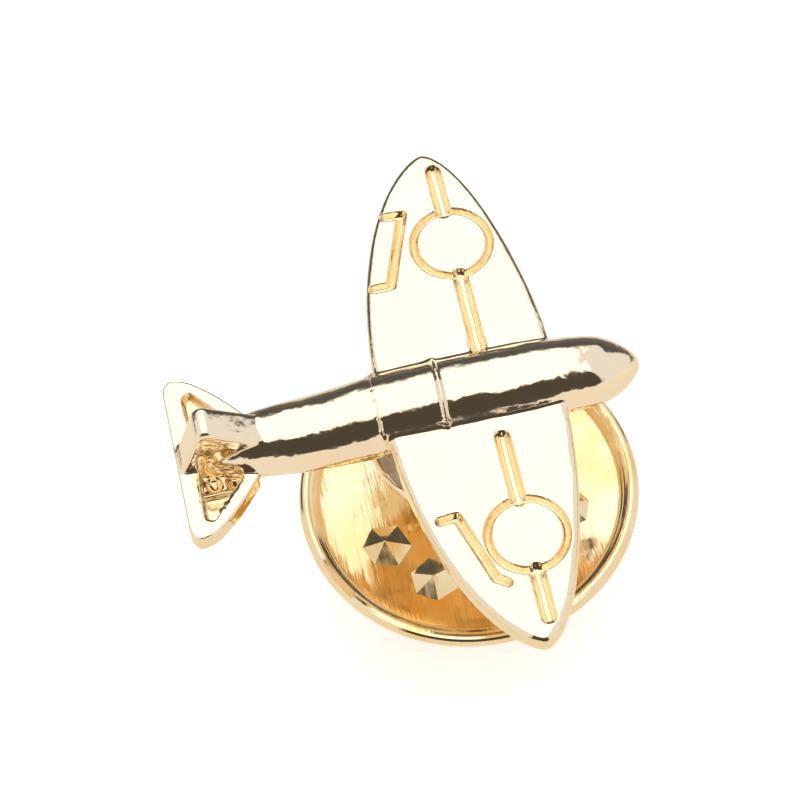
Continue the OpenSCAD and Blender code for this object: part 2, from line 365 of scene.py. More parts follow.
class Recipe:
    """A node material in the making: a principled shader and short calls that feed it."""

    def __init__(self, name, base, metallic, roughness):
        self.material = bpy.data.materials.new(name)
        self.material.use_nodes = True
        self.tree = self.material.node_tree
        self.shader = self.tree.nodes["Principled BSDF"]
        self.shader.inputs["Base Color"].default_value = (*base, 1)
        self.shader.inputs["Metallic"].default_value = metallic
        self.shader.inputs["Roughness"].default_value = roughness
        self.place = self.node("ShaderNodeTexCoord").outputs["Object"]
        self.height = None

    def node(self, kind, **settings):
        made = self.tree.nodes.new(kind)
        for key, value in settings.items():
            setattr(made, key, value)
        return made

    def link(self, out, into):
        self.tree.links.new(out, into)

    def noise(self, per_mm, detail=3.0, stretch=(1, 1, 1), roughness=0.5):
        """Noise whose features are about 1 / per_mm millimetres wide."""
        mapping = self.node("ShaderNodeMapping")
        mapping.inputs["Scale"].default_value = [per_mm * s / MM for s in stretch]
        self.link(self.place, mapping.inputs["Vector"])
        noise = self.node("ShaderNodeTexNoise")
        noise.inputs["Scale"].default_value = 1.0
        noise.inputs["Detail"].default_value = detail
        noise.inputs["Roughness"].default_value = roughness
        self.link(mapping.outputs["Vector"], noise.inputs["Vector"])
        return noise.outputs["Fac"]

    def ramp(self, value, low, high, out_low=0.0, out_high=1.0):
        """Spreads the stretch from low to high over out_low to out_high."""
        made = self.node("ShaderNodeMapRange")
        made.inputs["From Min"].default_value = low
        made.inputs["From Max"].default_value = high
        made.inputs["To Min"].default_value = out_low
        made.inputs["To Max"].default_value = out_high
        self.link(value, made.inputs["Value"])
        return made.outputs["Result"]

    def mix(self, value, first, second):
        """Mixes two colours, each a colour value or another node's output."""
        made = self.node("ShaderNodeMix", data_type="RGBA")
        self.link(value, made.inputs["Factor"])
        for socket, side in ((made.inputs["A"], first), (made.inputs["B"], second)):
            if isinstance(side, bpy.types.NodeSocket):
                self.link(side, socket)
            else:
                socket.default_value = (*side, 1)
        return made.outputs["Result"]

    def bump(self, value, height_mm):
        """Raises the surface by value times a height, on top of the bumps before."""
        made = self.node("ShaderNodeBump")
        made.inputs["Strength"].default_value = 1.0
        made.inputs["Distance"].default_value = height_mm * MM
        self.link(value, made.inputs["Height"])
        if self.height is not None:
            self.link(self.height, made.inputs["Normal"])
        self.height = made.outputs["Normal"]
        self.link(self.height, self.shader.inputs["Normal"])

    def colour(self, out):
        self.link(out, self.shader.inputs["Base Color"])

    def rough(self, out):
        self.link(out, self.shader.inputs["Roughness"])

    def low_ground_shade_mask(self):
        """Painted shade: 1 on the wing and tail where the metal lies below their faces, 0 elsewhere."""
        sizes = bpy.context.scene.pin_sizes
        middle_z = CASTING_LOW.z + sizes.body_h / 2
        wing_z = (middle_z + sizes.wing_rise) * MM
        tail_z = (middle_z + TAILPLANE_Z + sizes.tail_t / 2) * MM
        split = self.node("ShaderNodeSeparateXYZ")
        self.link(self.place, split.inputs["Vector"])
        x, y, z = split.outputs
        body_half = sizes.body_w / 2
        off_body = self.ramp(self.maths("ABSOLUTE", y), body_half * MM, (body_half + BODY_BLEND) * MM)
        on_tail = self.ramp(x, TAIL_FROM * MM, (TAIL_FROM - TAIL_BLEND) * MM)
        under_wing = self.ramp(z, wing_z - LOW_FULL * MM, wing_z - LOW_START * MM, 1.0, 0.0)
        under_tail = self.ramp(z, tail_z - LOW_FULL * MM, tail_z - LOW_START * MM, 1.0, 0.0)
        wing = self.maths("MULTIPLY", off_body, under_wing)
        tail = self.maths("MULTIPLY", on_tail, under_tail)
        wing = self.maths("MULTIPLY", wing, self.ramp(x, TAIL_FROM * MM, (TAIL_FROM + TAIL_BLEND) * MM))
        return self.maths("MAXIMUM", wing, tail)

    def maths(self, operation, *values):
        made = self.node("ShaderNodeMath", operation=operation)
        for socket, value in zip(made.inputs, values):
            self.link(value, socket)
        return made.outputs[0]

    def crevice_shade_mask(self, depth=0.06):
        """Painted shade: 1 in grooves and inner corners, where the gold is darkened as shade, 0 on open
        faces.
        """
        geometry = self.node("ShaderNodeNewGeometry")
        return self.ramp(geometry.outputs["Pointiness"], 0.5 - depth, 0.5 - depth * 0.15, 1.0, 0.0)


def plated_metal(name, colours):
    """Polished pale gold plate over a casting: slow waves, faint haze, and deeper gold painted as shade on
    low ground, in the grooves and in the corners.
    """
    recipe = Recipe(name, colours.plate, 1.0, 0.08)
    patches = recipe.ramp(recipe.noise(0.35, 2.0), 0.4, 0.62)
    face = recipe.mix(patches, colours.plate, colours.plate_warm)
    # Painted shade: the plating turns to a deeper gold where it lies below the wing and tail faces
    face = recipe.mix(recipe.low_ground_shade_mask(), face, colours.groove)
    # Painted shade: the plating darkens to the crevice colour in grooves and inner corners
    recipe.colour(recipe.mix(recipe.crevice_shade_mask(), face, colours.crevice_shade_and_tear))
    recipe.rough(recipe.ramp(recipe.noise(2.2, 4.0), 0.35, 0.7, 0.06, 0.13))
    recipe.bump(recipe.noise(0.45, 1.5), 0.16)
    recipe.bump(recipe.noise(1.6, 2.0), 0.035)
    recipe.bump(recipe.noise(6.0, 2.0, stretch=(0.25, 1.0, 1.0)), 0.003)
    return recipe.material


def stamped_metal(name, colours):
    """Deeper gold plate on stamped sheet, with fine straight brushing."""
    recipe = Recipe(name, colours.clutch, 1.0, 0.2)
    streaks = recipe.noise(9.0, 3.0, stretch=(1.0, 0.06, 0.06))
    clouds = recipe.ramp(recipe.noise(0.5, 2.0), 0.35, 0.65)
    face = recipe.mix(clouds, colours.clutch, colours.clutch_deep)
    recipe.colour(face)
    recipe.rough(recipe.ramp(streaks, 0.3, 0.7, 0.05, 0.15))
    recipe.bump(streaks, 0.004)
    recipe.bump(recipe.noise(0.6, 1.5), 0.05)
    return recipe.material


def turned_metal(name, colours):
    """Plated wire with fine turning marks round it."""
    recipe = Recipe(name, colours.post, 1.0, 0.16)
    marks = recipe.noise(12.0, 2.0, stretch=(0.05, 0.05, 1.0))
    recipe.colour(recipe.mix(recipe.ramp(recipe.noise(1.2), 0.4, 0.65), colours.post, colours.clutch_deep))
    recipe.rough(recipe.ramp(marks, 0.3, 0.7, 0.12, 0.24))
    recipe.bump(marks, 0.004)
    return recipe.material


def rough_metal(name, colours):
    """Braze as it froze: dull, torn and streaked."""
    recipe = Recipe(name, colours.braze, 0.25, 0.4)
    tears = recipe.noise(3.0, 5.0, stretch=(0.35, 1.6, 1.6), roughness=0.65)
    recipe.colour(recipe.mix(recipe.ramp(tears, 0.34, 0.5), colours.crevice_shade_and_tear, colours.braze))
    recipe.rough(recipe.ramp(recipe.noise(5.0, 4.0), 0.35, 0.65, 0.26, 0.5))
    recipe.bump(tears, 0.16)
    return recipe.material


def spring_metal(name, colours):
    """Plated spring strip, finely drawn along its length."""
    recipe = Recipe(name, colours.spring, 1.0, 0.22)
    recipe.colour(recipe.mix(recipe.ramp(recipe.noise(1.5), 0.4, 0.6), colours.spring, colours.clutch_deep))
    recipe.bump(recipe.noise(10.0, 2.0, stretch=(0.1, 1.0, 1.0)), 0.003)
    return recipe.material


FLOOR_SHADE = 0.985


def floor_paint(name, colours):
    """Matt paint with very faint clouds, and a little light of its own."""
    recipe = Recipe(name, colours.floor, 0.0, 0.6)
    tone = recipe.ramp(recipe.noise(0.02, 2.0), 0.3, 0.7)
    recipe.colour(recipe.mix(tone, colours.floor, tuple(FLOOR_SHADE * c for c in colours.floor)))
    recipe.shader.inputs["Emission Color"].default_value = (*colours.floor, 1)
    recipe.shader.inputs["Emission Strength"].default_value = bpy.context.scene.pin_light.floor_glow
    return recipe.material


MAKERS = {
    "pale_gold_plate": plated_metal,
    "clutch_brass": stamped_metal,
    "post_brass": turned_metal,
    "rough_braze": rough_metal,
    "spring_brass": spring_metal,
    "floor_paint": floor_paint,
}


def material(name, context):
    """The named finish, made the first time that it is asked for."""
    title = name + "_finish"
    found = bpy.data.materials.get(title)
    return found or MAKERS[name](title, context.scene.pin_colours)


# ---------------------------------------------------------------- aircraft


# The chord falls with the span to this power, about a middle line that sweeps to the tips
WING_POWER = 0.62
WING_MIDDLE = 0.25
WING_SWEEP = 0.35
TIP_HALF = 0.1
POINT_ROW = 0.01


def wing_plate(sizes, face_z):
    """The wing: a circle drawn out row by row into a pointed ellipse, thickened and rounded."""
    half = sizes.span / 2
    bpy.ops.object.select_all(action="DESELECT")
    bpy.ops.mesh.primitive_circle_add(vertices=96, radius=half, fill_type="NGON")
    obj = added("aircraft")
    edit(obj)
    rows = sorted({round(v.co.y, 4) for v in bmesh.from_edit_mesh(obj.data).verts})
    for row in rows:
        share = min(abs(row) / half, 1.0)
        round_half = half * math.sqrt(max(1 - share * share, 0.0))
        wanted = max(sizes.chord / 2 * (1 - share * share) ** WING_POWER, TIP_HALF)
        pick(obj, "VERT", lambda v: abs(v.co.y - row) < NEAR)
        if round_half > POINT_ROW:
            bpy.ops.transform.resize(value=(wanted / round_half, 1, 1), center_override=(0, row, 0))
        bpy.ops.transform.translate(value=(WING_MIDDLE + WING_SWEEP * share**4, 0, face_z))
    bpy.ops.mesh.select_all(action="SELECT")
    bpy.ops.mesh.extrude_region_move(TRANSFORM_OT_translate={"value": (0, 0, -sizes.wing_t)})
    close_up()
    pick(obj, "EDGE", lambda e: abs(e.verts[0].co.z - e.verts[1].co.z) < NEAR)
    bpy.ops.mesh.bevel(offset=sizes.wing_round, segments=5, affect="EDGES", clamp_overlap=True)
    done()
    return obj


RING_X = 0.86
RING_Y = 5.5
AILERONS = (
    # port: hook, hinge line, hook
    ((-2.0, 4.35), (-1.4, 4.35), (-0.5, 6.95), (-1.1, 7.0)),
    # starboard
    ((-1.7, -4.45), (-1.15, -4.4), (-0.42, -6.75), (-0.1, -6.98)),
)
HINGE_LINE_W = 0.3
# How far from the fuselage the long groove starts, to port and to starboard
BAR_STARTS = {1: 0.1, -1: 0.6}
BAR_TIP_GAP = 0.8


def wing_cutters(sizes, face_z):
    """Cutters for the rings, the long grooves and the aileron lines."""
    depth = sizes.mark_d
    outer_end = sizes.span / 2 - BAR_TIP_GAP
    cutters = []
    for side in (-1, 1):
        inner_end = sizes.body_w / 2 + BAR_STARTS[side]
        bpy.ops.object.select_all(action="DESELECT")
        bpy.ops.mesh.primitive_torus_add(
            location=(RING_X, side * RING_Y, face_z),
            major_radius=sizes.ring_r,
            minor_radius=sizes.ring_w / 2,
            major_segments=96,
            minor_segments=16,
        )
        ring = added("ring_cutter")
        ring.scale.z = 2 * depth / sizes.ring_w
        place_in_mesh(ring)
        cutters.append(ring)
        lines = [
            ((RING_X, side * inner_end), (RING_X, side * (RING_Y - sizes.ring_r)), sizes.bar_w),
            ((RING_X, side * (RING_Y + sizes.ring_r)), (RING_X, side * outer_end), sizes.bar_w),
        ]
        marks = AILERONS[0] if side > 0 else AILERONS[1]
        lines += [(a, b, HINGE_LINE_W) for a, b in zip(marks, marks[1:])]
        for a, b, width in lines:
            cutters.append(capsule("line_cutter", (*a, face_z), (*b, face_z), width, depth))
    return cutters


def body_stations(sizes):
    """Places along X, share of the full width and height, and height of the section's middle."""
    nose, tail = sizes.nose, sizes.tail
    return (
        (-tail + 0.7, 0.34, -0.35),
        (-tail + 1.6, 0.62, -0.3),
        (-tail + 2.6, 0.82, -0.22),
        (-0.57 * tail, 0.88, -0.3),
        (-0.43 * tail, 0.93, -0.24),
        (-0.3 * tail, 1.0, -0.05),
        (0.0, 1.0, 0.0),
        (0.3 * nose, 0.99, 0.04),
        (0.45 * nose, 0.96, 0.08),
        (0.6 * nose, 0.9, 0.07),
        (0.7 * nose, 0.86, 0.05),
        (0.8 * nose, 0.79, -0.02),
        (0.87 * nose, 0.65, -0.08),
        (0.93 * nose, 0.47, -0.1),
        (0.97 * nose, 0.3, -0.1),
        (0.995 * nose, 0.15, -0.1),
        (nose, 0.05, -0.1),
    )


def fuselage(sizes, middle_z):
    """The body: a circle extruded from station to station and smoothed."""
    stations = body_stations(sizes)
    x, share, drop = stations[0]
    bpy.ops.object.select_all(action="DESELECT")
    bpy.ops.mesh.primitive_circle_add(
        vertices=24,
        radius=1,
        fill_type="NGON",
        location=(x, 0, middle_z + drop),
        rotation=(0, math.pi / 2, 0),
    )
    obj = added("fuselage")
    place_in_mesh(obj)
    edit(obj)
    bpy.ops.transform.resize(
        value=(1, share * sizes.body_w / 2, share * sizes.body_h / 2), center_override=(x, 0, middle_z + drop)
    )
    for (x0, share0, drop0), (x1, share1, drop1) in zip(stations, stations[1:]):
        bpy.ops.mesh.extrude_region_move(TRANSFORM_OT_translate={"value": (x1 - x0, 0, drop1 - drop0)})
        grow = share1 / share0
        bpy.ops.transform.resize(value=(1, grow, grow), center_override=(x1, 0, middle_z + drop1))
    close_up()
    done()
    modify(obj, "SUBSURF", levels=2, render_levels=2)
    return obj


def body_ring(name, x, share, middle_z, sizes, thick):
    """A hoop round the fuselage, for the canopy's frames."""
    bpy.ops.object.select_all(action="DESELECT")
    bpy.ops.mesh.primitive_torus_add(
        rotation=(0, math.pi / 2, 0),
        major_radius=1.0,
        minor_radius=thick,
        major_segments=64,
        minor_segments=12,
    )
    obj = added(name)
    place_in_mesh(obj)
    obj.scale = (1, share * sizes.body_w / 2, share * sizes.body_h / 2)
    obj.location = (x, 0, middle_z)
    place_in_mesh(obj)
    return obj


# Height of the tailplane's middle from the fuselage's, and outlines drawn for one tail reach
TAILPLANE_Z = -0.6
TAIL_DRAWN = 9.4
TAILPLANE = ((-9.4, 2.95), (-8.7, 2.95), (-7.75, 2.15), (-6.9, 1.15), (-6.9, 0.0))
POCKET = ((-7.35, 0.35), (-8.72, 0.35), (-8.84, 2.2), (-8.55, 2.4), (-7.3, 0.85))
TIP_FROM = 2.0
TIP_ROUND = 0.42
TAIL_EDGE = 0.3
POCKET_DEPTH = 0.42
POCKET_EDGE = 0.1
# Two short hollows and a ridge on the floor of the starboard pocket
HOLLOWS = (-8.35, -7.7)
HOLLOW_Y = -0.85
HOLLOW_RUN = 0.1
HOLLOW_W = 0.5
HOLLOW_DEPTH = 0.22
RIDGE_Y = -1.35
RIDGE_ENDS = (-8.75, -7.3)
RIDGE_W = 0.2


def tailplane(sizes, middle_z):
    """Both halves of the tailplane in one plate with rounded tips and two pockets."""
    shift = -sizes.tail + TAIL_DRAWN
    z = middle_z + TAILPLANE_Z - sizes.tail_t / 2
    half = [(x + shift, y, z) for x, y in TAILPLANE]
    outline = half + [(x, -y, z) for x, y, _ in reversed(half[:-1])]
    obj = draw("tailplane", outline)
    bpy.ops.mesh.edge_face_add()
    pick(obj, "VERT", lambda v: abs(v.co.y) > TIP_FROM)
    bpy.ops.mesh.bevel(offset=TIP_ROUND, segments=6, affect="VERTICES")
    bpy.ops.mesh.select_all(action="SELECT")
    bpy.ops.mesh.extrude_region_move(TRANSFORM_OT_translate={"value": (0, 0, sizes.tail_t)})
    close_up()
    done()
    round_edges(obj, TAIL_EDGE, segments=4)
    pocket_z = z + sizes.tail_t - POCKET_DEPTH
    for side in (-1, 1):
        points = [(x + shift, side * y, pocket_z) for x, y in POCKET]
        cutter = prism("pocket_cutter", points, (0, 0, 1))
        round_edges(cutter, POCKET_EDGE)
        combine(obj, cutter, "DIFFERENCE")
    for x in HOLLOWS:
        start = (x + shift, HOLLOW_Y, pocket_z)
        end = (x + shift, HOLLOW_Y - HOLLOW_RUN, pocket_z)
        combine(obj, capsule("hollow_cutter", start, end, HOLLOW_W, HOLLOW_DEPTH), "DIFFERENCE")
    ridge = [(x + shift, RIDGE_Y, pocket_z) for x in RIDGE_ENDS]
    return join([obj, capsule("pocket_ridge", *ridge, RIDGE_W, RIDGE_W)])


def fin(sizes, middle_z):
    """The fin: a thick wedge that climbs from the boom to a rounded top."""
    back = -sizes.tail
    top = CASTING_HIGH.z - middle_z
    profile = (
        (back + 3.2, 0.55),
        (back + 2.75, 0.85),
        (back + 1.15, top),
        (back + 0.8, top - 0.12),
        (back + 0.12, TAILPLANE_Z + sizes.tail_t / 2),
        (back + 0.12, TAILPLANE_Z - sizes.tail_t / 2 + 0.1),
        (back + 3.2, TAILPLANE_Z),
    )
    points = [(x, -sizes.fin_t / 2, middle_z + z) for x, z in profile]
    obj = prism("fin", points, (0, sizes.fin_t, 0))
    round_edges(obj, TAIL_EDGE, segments=4)
    return obj


# Each frame's place along X, share of the fuselage's size and thickness
CANOPY_FRAMES = ((-0.75, 0.985, 0.075), (-2.85, 0.985, 0.03))
# How far fillets reach outwards and inwards, and where along X they run
FILLET_REACH = 0.45
FILLET_INSIDE = 0.35
WING_ROOT = (-3.4, 3.8)
TAIL_ROOT = -6.2
# Share of the melted casting's faces that is kept
KEPT_FACES = 0.33


def soften_roots(obj, sizes, middle_z, face_z):
    """Smooths the corners between wing and fuselage, and between fin and tailplane, into fillets."""
    half = sizes.body_w / 2
    edit(obj)

    def at_wing_root(v):
        x, y, z = v.co
        near_side = half - FILLET_INSIDE < abs(y) < half + FILLET_REACH
        near_face = abs(z - face_z) < FILLET_REACH or abs(z - face_z + sizes.wing_t) < FILLET_REACH
        return near_side and near_face and WING_ROOT[0] < x < WING_ROOT[1]

    pick(obj, "VERT", at_wing_root)
    bpy.ops.mesh.vertices_smooth(factor=0.5, repeat=30)

    def at_tail(v):
        return v.co.x < TAIL_ROOT and v.co.z > middle_z + TAILPLANE_Z - 0.1

    pick(obj, "VERT", at_tail)
    bpy.ops.mesh.vertices_smooth(factor=0.5, repeat=6)
    done()


class PIN_OT_aircraft(bpy.types.Operator):
    """Model the cast aircraft: wings, fuselage and tail melted into one surface"""

    bl_idname = "pin.aircraft"
    bl_label = "Aircraft Casting"

    def execute(self, context):
        sizes = context.scene.pin_sizes
        middle_z = CASTING_LOW.z + sizes.body_h / 2
        face_z = middle_z + sizes.wing_rise
        casting = wing_plate(sizes, face_z)
        for cutter in wing_cutters(sizes, face_z):
            combine(casting, cutter, "DIFFERENCE")
        shells = [casting, fuselage(sizes, middle_z), tailplane(sizes, middle_z), fin(sizes, middle_z)]
        shells += [body_ring("canopy_frame", x, share, middle_z, sizes, t) for x, share, t in CANOPY_FRAMES]
        casting = join(shells)
        modify(casting, "REMESH", mode="VOXEL", voxel_size=sizes.detail)
        modify(casting, "SMOOTH", factor=0.5, iterations=3)
        soften_roots(casting, sizes, middle_z, face_z)
        modify(casting, "DECIMATE", ratio=KEPT_FACES)
        select_only(casting)
        bpy.ops.object.shade_smooth()
        finish_piece(
            casting, "badge", ["aircraft_casting"], material("pale_gold_plate", context)
        )
        return {"FINISHED"}


# ---------------------------------------------------------------- post, pad and braze


BRAZE_SLOPE = 0.8
BRAZE_SHOULDER = 0.6
BRAZE_SUNK = 0.3
BRAZE_EDGE = 0.06


class PIN_OT_braze(bpy.types.Operator):
    """Model the rough run of braze between the belly and the pad"""

    bl_idname = "pin.braze"
    bl_label = "Braze"

    def execute(self, context):
        low, high = frame_box("braze_fillet")
        foot = high.x
        crown = foot - BRAZE_SLOPE
        sunk = high.z + BRAZE_SUNK
        profile = (
            (0, low.z), (foot, low.z), (foot, low.z + BRAZE_EDGE),
            (crown, high.z), (crown - BRAZE_SHOULDER, sunk), (0, sunk),
        )
        obj = lathe("braze", profile, steps=96)
        edit(obj)
        pick(obj, "FACE", lambda f: f.normal.z > -0.5)
        bpy.ops.mesh.subdivide(number_cuts=8)
        done()
        lumps = bpy.data.textures.new("braze_lumps", "CLOUDS")
        lumps.noise_scale = 0.45
        lumps.noise_depth = 4
        modify(obj, "DISPLACE", texture=lumps, texture_coords="LOCAL", strength=0.22, mid_level=1.0)
        bpy.ops.object.shade_smooth()
        finish_piece(obj, "badge", ["braze_fillet"], material("rough_braze", context))
        return {"FINISHED"}


NOTCHES = 3
NOTCH_DEPTH = 0.1
NOTCH_FIRST = 1.8
NOTCH_PITCH = 1.5
PAD_FIT = 0.002


class PIN_OT_post(bpy.types.Operator):
    """Model the round pad and the notched, pointed post"""

    bl_idname = "pin.post"
    bl_label = "Post"

    def execute(self, context):
        radius = POST_HIGH.x
        low, high = POST_LOW.z, POST_HIGH.z
        neck = radius - NOTCH_DEPTH
        profile = [(0, low), (0.1, low + 0.03), (0.2, low + 0.2)]
        profile += [(radius - 0.02, low + 1.0), (radius, low + 1.15)]
        for i in range(NOTCHES):
            z = low + NOTCH_FIRST + NOTCH_PITCH * i
            profile += [(radius, z - 0.03), (radius, z), (neck, z + 0.1)]
            profile += [(neck, z + 0.4), (radius, z + 0.5), (radius, z + 0.53)]
        profile += [(radius, high), (0, high)]
        post = lathe("post", profile, steps=48, bevel=0.02)
        shade(post)
        finish_piece(post, "badge", ["post_shank"], material("post_brass", context))
        edge = PAD_HIGH.x
        hole = radius + PAD_FIT
        profile = ((hole, PAD_LOW.z), (edge, PAD_LOW.z), (edge, PAD_HIGH.z), (hole, PAD_HIGH.z))
        pad = lathe("pad", profile, steps=128, bevel=0.1)
        shade(pad)
        finish_piece(pad, "badge", ["post_pad"], material("pale_gold_plate", context))
        return {"FINISHED"}


# ---------------------------------------------------------------- clutch


# The eyelet's bore clears the post, and the disc's hole and face clear the eyelet
BORE_GAP = 0.07
EYELET_WALL = 0.28
EYELET_LIP = 0.15
EYELET_GAP = 0.03
# Turns of the nibs about the post, in degrees
NIB_TURNS = (201.5, 237.5, 302.5, 338.5, 57.5, 122.5)
NIB_SIDES = 6
NIB_POINT = 0.04
NIB_SUNK = 0.12
NIB_LIFT = 0.04
# Rise of the dished face from its flat middle to the fillet inside the rim
DISH = 0.28
DISH_FLAT = 0.25
RIM_FILLET = 0.18


def bead(radius, middle, first, last, steps=14):
    """Points round the rolled rim, between two angles in degrees."""
    turn = [math.radians(first + (last - first) * i / steps) for i in range(steps + 1)]
    return [(middle[0] + radius * math.cos(a), middle[1] + radius * math.sin(a)) for a in turn]


class PIN_OT_clutch_disc(bpy.types.Operator):
    """Model the dished disc with its rolled rim and punched nibs"""

    bl_idname = "pin.clutch_disc"
    bl_label = "Clutch Disc"

    def execute(self, context):
        sizes = context.scene.pin_sizes
        rim = sizes.rim_r
        middle = (DISC_HIGH.x - rim, DISC_HIGH.z - rim)
        plate_z = DISC_LOW.z
        face_z = plate_z + sizes.sheet_t
        hole = POST_HIGH.x + BORE_GAP + EYELET_WALL + EYELET_GAP
        fillet = middle[0] - rim - RIM_FILLET
        steps = 10
        dish = [(r / steps, DISH * max(r / steps - DISH_FLAT, 0.0) ** 2) for r in range(steps + 1)]
        profile = [(hole, plate_z), (hole, face_z)]
        profile += [(hole + (fillet - hole) * r, face_z + rise) for r, rise in dish[1:]]
        profile += [(fillet + 0.12, face_z + dish[-1][1] + 0.05)]
        profile += bead(rim, middle, 170, -90)
        profile += [(middle[0] - 0.3, plate_z + 0.16), (middle[0] - 1.2, plate_z + 0.05)]
        profile += [(hole + 1.7, plate_z)]
        disc = lathe("clutch_disc_face", profile, steps=160)
        shells = [disc]
        for turn in map(math.radians, NIB_TURNS):
            bpy.ops.object.select_all(action="DESELECT")
            depth = sizes.nib_h + NIB_SUNK
            bpy.ops.mesh.primitive_cone_add(
                vertices=NIB_SIDES,
                radius1=sizes.nib_w / 2 * depth / sizes.nib_h,
                radius2=NIB_POINT,
                depth=depth,
            )
            nib = added("nib")
            nib.rotation_euler.z = turn
            nib.location = (
                sizes.nib_r * math.cos(turn),
                sizes.nib_r * math.sin(turn),
                face_z + NIB_LIFT + sizes.nib_h - depth / 2,
            )
            place_in_mesh(nib)
            shells.append(nib)
        disc = join(shells)
        shade(disc, 18.0)
        finish_piece(disc, "clutch", ["clutch_disc"], material("clutch_brass", context))
        return {"FINISHED"}


class PIN_OT_eyelet(bpy.types.Operator):
    """Model the eyelet that lines the disc's hole"""

    bl_idname = "pin.eyelet"
    bl_label = "Eyelet"

    def execute(self, context):
        low, high = EYELET_LOW.z, EYELET_HIGH.z
        inside = POST_HIGH.x + BORE_GAP
        tube = inside + EYELET_WALL
        lip = high - EYELET_LIP + EYELET_GAP
        rim = EYELET_HIGH.x
        profile = ((inside, low), (tube, low), (tube, lip), (rim, lip), (rim, high), (inside, high))
        eyelet = lathe("eyelet", profile, steps=96, bevel=0.05)
        shade(eyelet)
        finish_piece(eyelet, "eyelet", ["clutch_eyelet"], material("clutch_brass", context))
        return {"FINISHED"}


FLANGE = 0.9
# The squeeze wings rock this far below the can's top, on necks narrower than their grips
PIVOT_DROP = 1.55
NECK_IN = 0.5
WINDOW_PLAY = 0.3
WINDOW_DEPTH = 1.2
WINDOW_H = 1.0


class PIN_OT_clutch_can(bpy.types.Operator):
    """Model the can behind the disc, with a window on either side"""

    bl_idname = "pin.clutch_can"
    bl_label = "Clutch Can"

    def execute(self, context):
        sheet = context.scene.pin_sizes.sheet_t
        top = CAN_HIGH.z
        flange = CAN_HIGH.x
        outer = flange - FLANGE
        inner = outer - sheet
        profile = (
            (0, 0), (outer - 0.3, 0), (outer - 0.1, 0.08), (outer, 0.3), (outer, top - sheet),
            (flange, top - sheet), (flange, top), (inner, top), (inner, sheet), (0, sheet),
        )
        can = lathe("clutch_can_shell", profile, steps=96)
        pivot_z = top - PIVOT_DROP
        width = (LEVER_HIGH.y - LEVER_LOW.y) - NECK_IN + WINDOW_PLAY
        for side in (-1, 1):
            bpy.ops.object.select_all(action="DESELECT")
            bpy.ops.mesh.primitive_cube_add(size=1, location=(side * (inner + 0.5), 0, pivot_z))
            window = added("window_cutter")
            window.scale = (WINDOW_DEPTH, width, WINDOW_H)
            place_in_mesh(window)
            round_edges(window, 0.15)
            combine(can, window, "DIFFERENCE")
        round_edges(can, 0.05)
        shade(can)
        finish_piece(can, "clutch", ["clutch_can"], material("clutch_brass", context))
        return {"FINISHED"}


def along(path, x):
    """Height of a bent strip at a place along it, on straight runs from corner to corner."""
    for (x0, z0), (x1, z1) in zip(path, path[1:]):
        if x <= x1:
            return z0 + (z1 - z0) * max(x - x0, 0.0) / (x1 - x0)
    return path[-1][1]


def bent_strip(name, path, width_at, thickness, rows=48, columns=14):
    """A grid drawn to length and width row by row, bent along a path and thickened."""
    start, end = path[0][0], path[-1][0]
    bpy.ops.object.select_all(action="DESELECT")
    bpy.ops.mesh.primitive_grid_add(x_subdivisions=rows, y_subdivisions=columns, size=1)
    obj = added(name)
    edit(obj)
    for row in sorted({round(v.co.x, 5) for v in bmesh.from_edit_mesh(obj.data).verts}):
        x = start + (row + 0.5) * (end - start)
        pick(obj, "VERT", lambda v: abs(v.co.x - row) < 0.0001 and v.co.z == 0.0)
        bpy.ops.transform.resize(value=(1, width_at(x), 1), center_override=(row, 0, 0))
        bpy.ops.transform.translate(value=(0, 0, along(path, x)))
    bpy.ops.mesh.select_all(action="SELECT")
    bpy.ops.transform.resize(value=(end - start, 1, 1), center_override=(0, 0, 0))
    bpy.ops.transform.translate(value=((start + end) / 2, 0, 0))
    done()
    modify(obj, "SMOOTH", factor=0.5, iterations=4, use_x=False, use_y=False)
    modify(obj, "SOLIDIFY", thickness=thickness, offset=0.0)
    return obj


def bore(obj, radius, low, high):
    """Cuts an upright hole on the post's axis."""
    bpy.ops.object.select_all(action="DESELECT")
    bpy.ops.mesh.primitive_cylinder_add(
        vertices=64, radius=radius, depth=high - low, location=(0, 0, (low + high) / 2)
    )
    cutter = added("bore_cutter")
    place_in_mesh(cutter)
    combine(obj, cutter, "DIFFERENCE")


# Along a squeeze wing: the neck ends, the shoulder widens, and the grip ends in round corners
NECK_END = 2.75
SHOULDER_END = 2.95
SHOULDER_RUN = 0.2
GRIP_CORNER = 0.75
GRIP_END_GAP = 0.05
# A thumb rest pressed up in the grip: its place from the end, half sizes, rise and soft edge
REST_BACK = 0.95
REST_HALF_L = 0.35
REST_HALF_W = 0.45
REST_RISE = 0.1
REST_SOFT = 0.4


